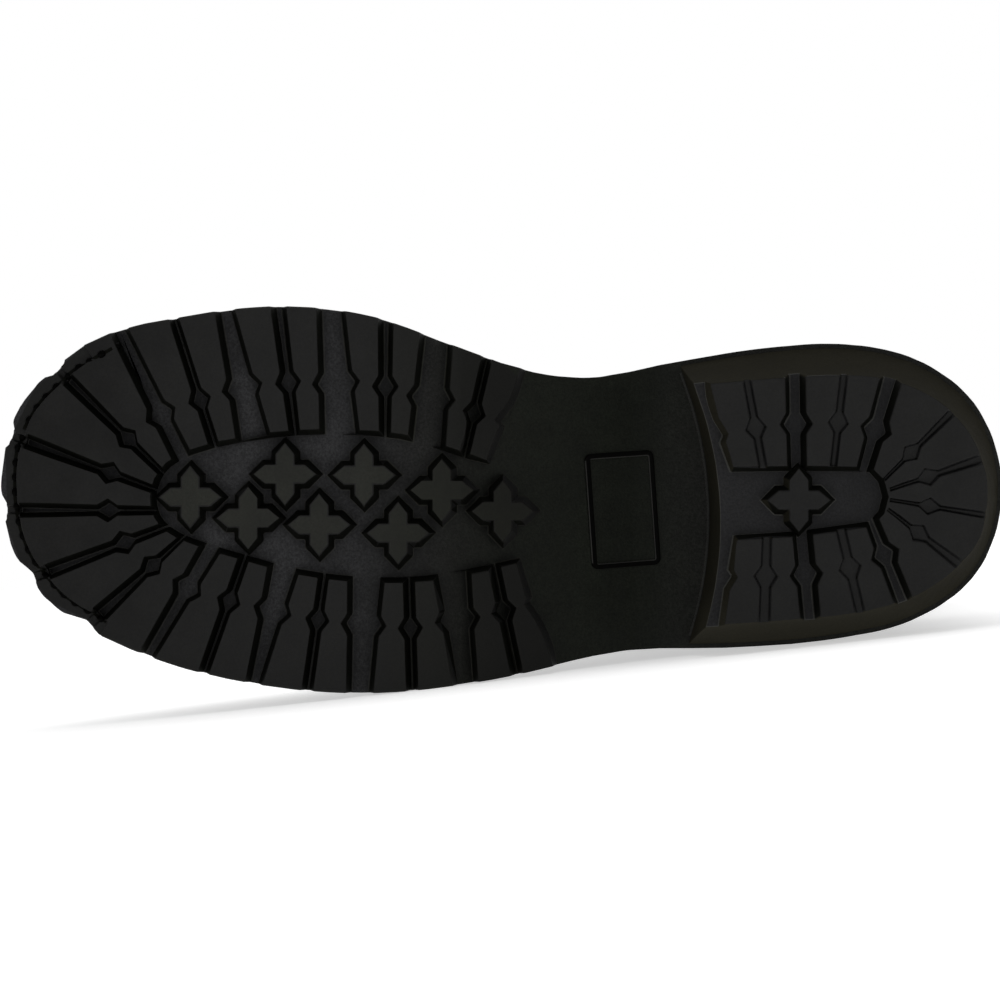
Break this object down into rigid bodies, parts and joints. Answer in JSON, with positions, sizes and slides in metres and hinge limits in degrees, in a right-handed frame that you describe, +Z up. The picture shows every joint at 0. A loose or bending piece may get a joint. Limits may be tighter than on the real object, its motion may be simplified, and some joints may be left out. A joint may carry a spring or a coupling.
{
  "type": "logger boot",
  "caption": "Right logger boot lying on its outer side: tall laced leather upper on a welted, deeply lugged rubber sole with an undershot heel.",
  "frame": {"origin": "bottom centre of the boot's box as it lies on its outer side on a floor", "axes": "+Z up from the floor through the boot from outer to inner side, +Y from the sole along the shaft to the collar, +X from toe to heel"},
  "size_m": [0.3096, 0.2758, 0.1219],
  "materials": {
    "sole_rubber": "moulded black rubber, satin on the lugs, finely grained on the floor between them",
    "welt_leather": "black edge-dressed leather strip with a row of stitches",
    "insole_leather": "plain tan insole leather, matt",
    "upper_leather": "black pull-up leather, fine grain, soft sheen",
    "eyelet_enamel": "black enamelled brass",
    "lace_cord": "black braided cord, matt"
  },
  "bodies": {
    "root": {"outsole": "sole_rubber", "heel": "sole_rubber", "welt": "welt_leather", "insole": "insole_leather", "upper": "upper_leather", "tongue": "upper_leather", "counter": "upper_leather", "eyestay_inner": "upper_leather", "eyestay_outer": "upper_leather", "eyelet_inner_1": "eyelet_enamel", "eyelet_inner_2": "eyelet_enamel", "eyelet_inner_3": "eyelet_enamel", "eyelet_inner_4": "eyelet_enamel", "eyelet_inner_5": "eyelet_enamel", "eyelet_inner_6": "eyelet_enamel", "eyelet_inner_7": "eyelet_enamel", "eyelet_inner_8": "eyelet_enamel", "eyelet_outer_1": "eyelet_enamel", "eyelet_outer_2": "eyelet_enamel", "eyelet_outer_3": "eyelet_enamel", "eyelet_outer_4": "eyelet_enamel", "eyelet_outer_5": "eyelet_enamel", "eyelet_outer_6": "eyelet_enamel", "eyelet_outer_7": "eyelet_enamel", "eyelet_outer_8": "eyelet_enamel", "lace": "lace_cord"}
  },
  "joints": []
}
